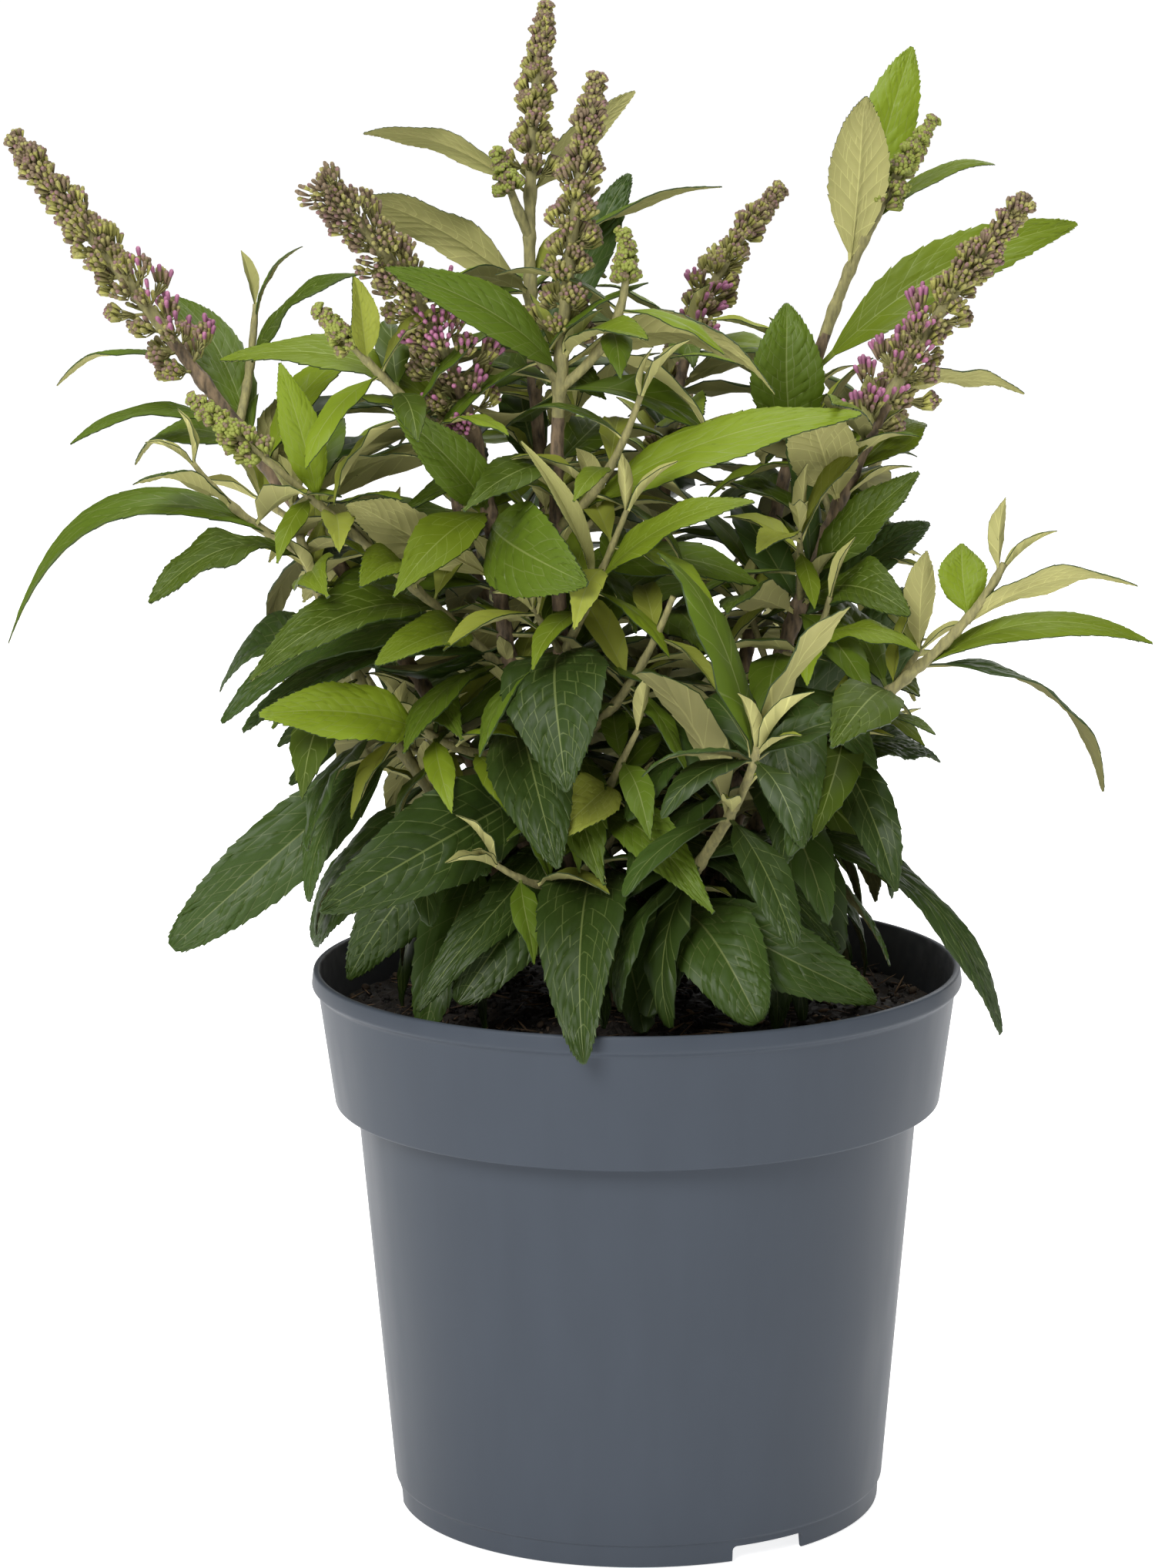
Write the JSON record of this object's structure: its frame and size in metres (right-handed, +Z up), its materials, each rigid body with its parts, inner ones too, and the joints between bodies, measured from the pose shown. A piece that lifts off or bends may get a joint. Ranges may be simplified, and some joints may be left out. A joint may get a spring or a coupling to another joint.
{
  "type": "butterfly bush in a nursery pot",
  "caption": "Young butterfly bush with arching leafy shoots and conical flower spikes, growing in a round tapered plastic nursery pot filled with potting soil.",
  "frame": {"origin": "middle of the pot's flat underside, at ground level", "axes": "+Z up along the pot's axis, -Y towards the front of the plant, +X to its right"},
  "size_m": [0.33, 0.2309, 0.4422],
  "materials": {
    "pot": "satin",
    "soil": "matte",
    "bark": "matte",
    "leaf": "matte",
    "blossom": "matte"
  },
  "bodies": {
    "root": {"pot": "pot", "soil": "soil", "crown": "bark", "stem_front": "bark", "stem_tall": "bark", "stem_mid_left": "bark", "stem_left": "bark", "stem_left_low": "bark", "stem_right": "bark", "stem_right_up": "bark", "stem_mid_right": "bark", "stem_right_low": "bark", "stem_front_low": "bark", "stem_back_left": "bark", "stem_back": "bark", "stem_back_right": "bark", "stem_low_left": "bark", "stem_low_right": "bark", "foliage_front": "leaf", "foliage_tall": "leaf", "foliage_mid_left": "leaf", "foliage_left": "leaf", "foliage_left_low": "leaf", "foliage_right": "leaf", "foliage_right_up": "leaf", "foliage_mid_right": "leaf", "foliage_right_low": "leaf", "foliage_front_low": "leaf", "foliage_back_left": "leaf", "foliage_back": "leaf", "foliage_back_right": "leaf", "foliage_low_left": "leaf", "foliage_low_right": "leaf"}
  },
  "joints": []
}
